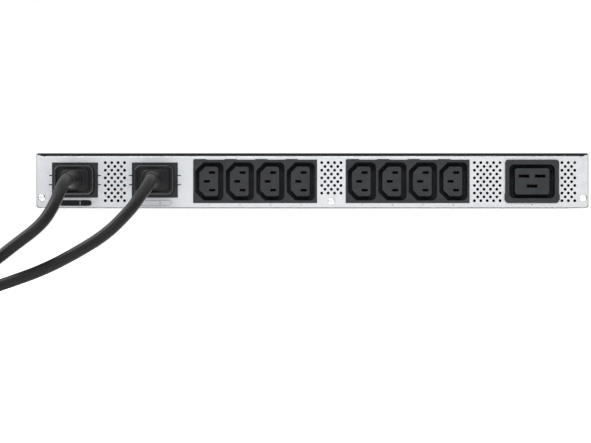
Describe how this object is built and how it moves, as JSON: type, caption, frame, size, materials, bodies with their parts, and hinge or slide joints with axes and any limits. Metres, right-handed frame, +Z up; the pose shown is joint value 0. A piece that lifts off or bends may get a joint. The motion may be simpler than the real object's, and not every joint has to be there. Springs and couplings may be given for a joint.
{
  "type": "rack transfer switch",
  "caption": "One-unit rack transfer switch with two cord-fed inlets, two banks of outlets, one large outlet and a display side.",
  "frame": {"origin": "middle of the left rack bracket's screw pattern, on the outer face of the left side wall", "axes": "+X across the unit to the right as seen from the socket side, +Y from the socket side to the display side, +Z up"},
  "size_m": [0.63, 0.5262, 0.1196],
  "materials": {
    "zinc_sheet": "bright zinc-coated steel sheet",
    "black_paint": "satin black paint",
    "socket_plastic": "dark grey moulded plastic",
    "plated_brass": "nickel-plated brass",
    "screw_steel": "zinc-plated steel",
    "insulator_film": "cream insulating film",
    "circuit_board": "green circuit board",
    "heatsink_aluminium": "plain extruded aluminium",
    "module_plastic": "cream moulded module",
    "copper": "bare copper",
    "yellow_case": "yellow plastic case",
    "relay_case": "dark plastic case",
    "blue_case": "blue sleeve",
    "wire_sleeve": "insulated wire",
    "jack_shell": "plated steel shell",
    "window_lens": "tinted plastic window",
    "pipe_lens": "clear plastic light guide",
    "button_plastic": "dark grey plastic",
    "plug_rubber": "semi-gloss black moulding",
    "cord_jacket": "satin black jacket",
    "tie_strap": "black hook and loop strap"
  },
  "bodies": {
    "unit": {"base_tray": "zinc_sheet", "socket_panel": "zinc_sheet", "top_cover": "black_paint", "display_panel": "black_paint", "inlet_1_housing": "socket_plastic", "inlet_2_housing": "socket_plastic", "inlet_1_pins": "plated_brass", "inlet_2_pins": "plated_brass", "bank_1_housing": "socket_plastic", "bank_2_housing": "socket_plastic", "bank_1_contacts": "plated_brass", "bank_2_contacts": "plated_brass", "large_outlet_housing": "socket_plastic", "large_outlet_contacts": "plated_brass", "panel_screws": "screw_steel", "cover_screws": "screw_steel", "board_screws": "screw_steel", "standoffs": "screw_steel", "insulator_sheet": "insulator_film", "power_board": "circuit_board", "control_board": "circuit_board", "heatsink_1": "heatsink_aluminium", "heatsink_2": "heatsink_aluminium", "thyristor_1": "module_plastic", "thyristor_2": "module_plastic", "thyristor_3": "module_plastic", "thyristor_4": "module_plastic", "choke_1": "copper", "choke_2": "copper", "filter_capacitor_1": "yellow_case", "filter_capacitor_2": "yellow_case", "relay_1": "relay_case", "relay_2": "relay_case", "current_sensor": "blue_case", "supply_transformer": "yellow_case", "supply_capacitors": "blue_case", "input_wires": "wire_sleeve", "output_wires": "wire_sleeve", "output_busbars": "copper", "network_jack": "jack_shell", "display_board": "circuit_board", "display_module": "relay_case", "display_window": "window_lens", "light_pipes": "pipe_lens", "plug_1": "plug_rubber", "plug_2": "plug_rubber", "cord_1": "cord_jacket", "cord_2": "cord_jacket", "cord_1_coil": "cord_jacket", "cord_2_coil": "cord_jacket", "cord_1_tie": "tie_strap", "cord_2_tie": "tie_strap", "far_plug_1": "plug_rubber", "far_plug_2": "plug_rubber", "far_plug_1_pins": "plated_brass", "far_plug_2_pins": "plated_brass"},
    "button_1": {"button_1": "button_plastic"},
    "button_2": {"button_2": "button_plastic"},
    "button_3": {"button_3": "button_plastic"},
    "button_4": {"button_4": "button_plastic"}
  },
  "joints": [
    {"name": "button_1_press", "type": "slide", "parent": "unit", "child": "button_1", "axis": [0, -1, 0], "range_m": [0, 0.0008], "stiffness_N_per_m": 1500, "springref_m": -0.0005},
    {"name": "button_2_press", "type": "slide", "parent": "unit", "child": "button_2", "axis": [0, -1, 0], "range_m": [0, 0.0008], "stiffness_N_per_m": 1500, "springref_m": -0.0005},
    {"name": "button_3_press", "type": "slide", "parent": "unit", "child": "button_3", "axis": [0, -1, 0], "range_m": [0, 0.0008], "stiffness_N_per_m": 1500, "springref_m": -0.0005},
    {"name": "button_4_press", "type": "slide", "parent": "unit", "child": "button_4", "axis": [0, -1, 0], "range_m": [0, 0.0008], "stiffness_N_per_m": 1500, "springref_m": -0.0005}
  ]
}
